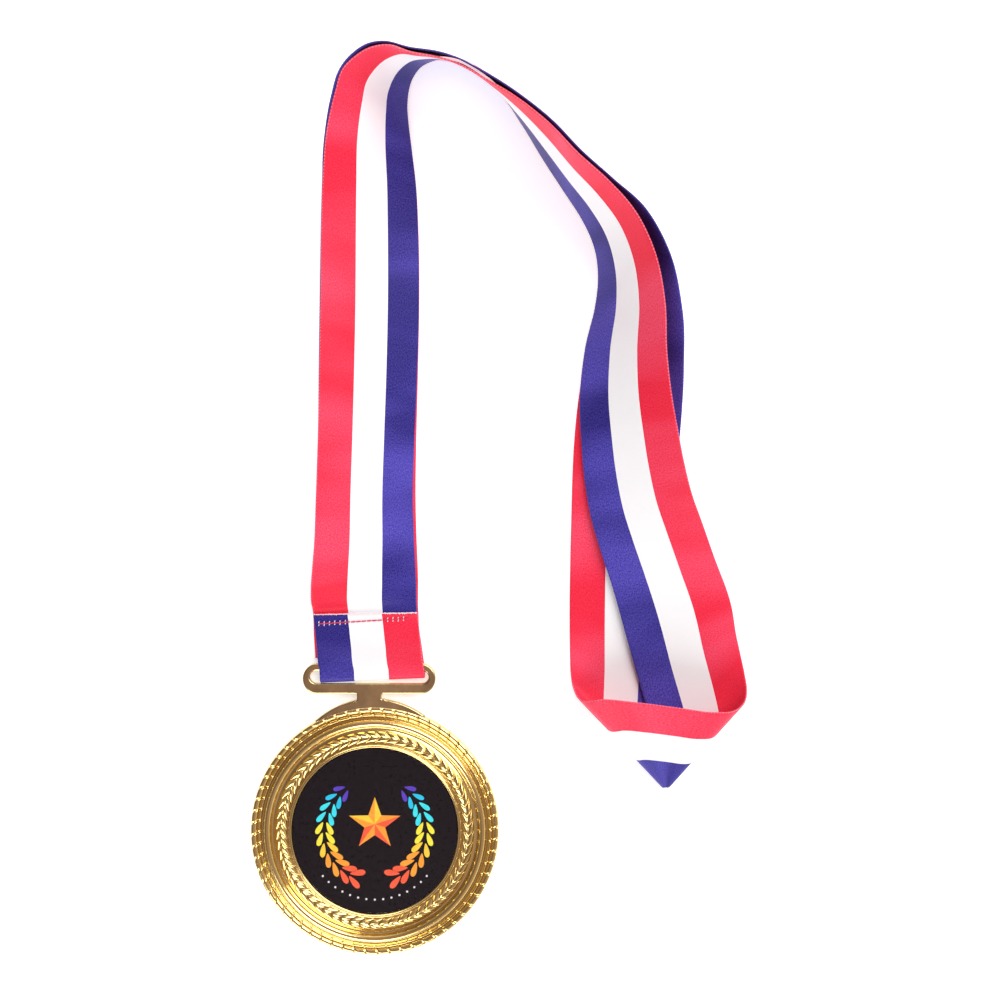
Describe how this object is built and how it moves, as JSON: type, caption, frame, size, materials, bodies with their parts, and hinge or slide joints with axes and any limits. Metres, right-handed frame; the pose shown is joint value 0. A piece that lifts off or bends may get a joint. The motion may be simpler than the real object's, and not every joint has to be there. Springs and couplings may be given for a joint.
{
  "type": "medal",
  "caption": "Round gilt award medal with a rope and wreath rim, a domed colour insert and a slotted loop, on a folded tricolour satin neck ribbon.",
  "frame": {"origin": "centre of the medal's flat back, where it lies on the table", "axes": "+Z out of the medal's face, +Y from the medal towards its loop and up the ribbon, +X to the right seen from the front"},
  "size_m": [0.1494, 0.2727, 0.0325],
  "materials": {
    "gilt_medal": "polished gold plating",
    "gilt_loop": "polished gold plating, a little darker",
    "adhesive": "matt",
    "insert_print": "gloss black print",
    "dome": "clear gloss",
    "satin_red": "satin",
    "satin_white": "satin",
    "satin_blue": "satin",
    "thread": "twisted thread"
  },
  "bodies": {
    "ribbon": {"ribbon_red": "satin_red", "ribbon_white": "satin_white", "ribbon_blue": "satin_blue", "needle_thread": "thread", "bobbin_thread": "thread"},
    "medal": {"medal_body": "gilt_medal", "hanger_loop": "gilt_loop", "insert_adhesive": "adhesive", "printed_insert": "insert_print", "insert_dome": "dome"}
  },
  "joints": [
    {"name": "medal_swing", "type": "hinge", "parent": "ribbon", "child": "medal", "pos_m": [-0.0017, 0.0494, 0.00215], "axis": [-1, 0, 0], "range_deg": [0, 150]}
  ]
}
